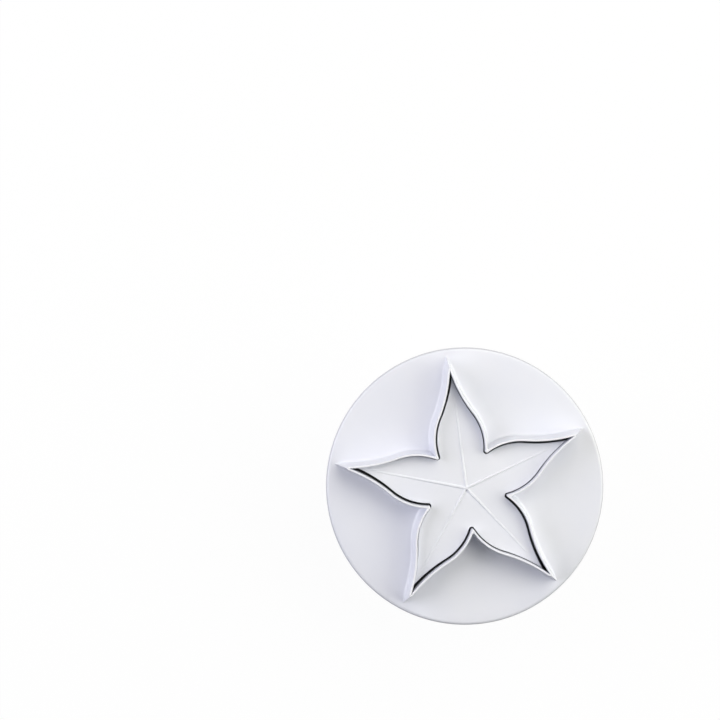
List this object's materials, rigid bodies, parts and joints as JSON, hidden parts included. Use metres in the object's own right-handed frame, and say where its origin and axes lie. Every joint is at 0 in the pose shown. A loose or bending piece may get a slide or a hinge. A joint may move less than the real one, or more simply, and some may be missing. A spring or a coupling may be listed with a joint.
{
  "type": "plunger cutter",
  "caption": "Round plunger cutter with a star-shaped calyx cutting wall, a spring-returned veined embossing die inside it and a flanged push knob on a tapered stem.",
  "frame": {"origin": "centre of the push knob's flat outer face, on which the cutter stands", "axes": "+Z along the stem from the knob to the cutting edge; one sepal of the calyx points along -Y"},
  "size_m": [0.077, 0.077, 0.0385],
  "materials": {
    "disc_plastic": "semi-gloss moulded",
    "wall_plastic": "semi-gloss moulded",
    "stem_plastic": "semi-gloss moulded",
    "die_plastic": "satin moulded",
    "shaft_plastic": "matte moulded",
    "spring_steel": "drawn wire",
    "knob_plastic": "semi-gloss moulded"
  },
  "bodies": {
    "cutter": {"guard_disc": "disc_plastic", "calyx_wall": "wall_plastic", "stem_sleeve": "stem_plastic", "return_spring": "spring_steel"},
    "plunger": {"embossing_die": "die_plastic", "plunger_shaft": "shaft_plastic", "push_knob": "knob_plastic"}
  },
  "joints": [
    {"name": "plunger_slide", "type": "slide", "parent": "cutter", "child": "plunger", "axis": [0, 0, 1], "range_m": [0, 0.0024], "stiffness_N_per_m": 670, "springref_m": -0.004, "deforming": ["return_spring"]}
  ]
}
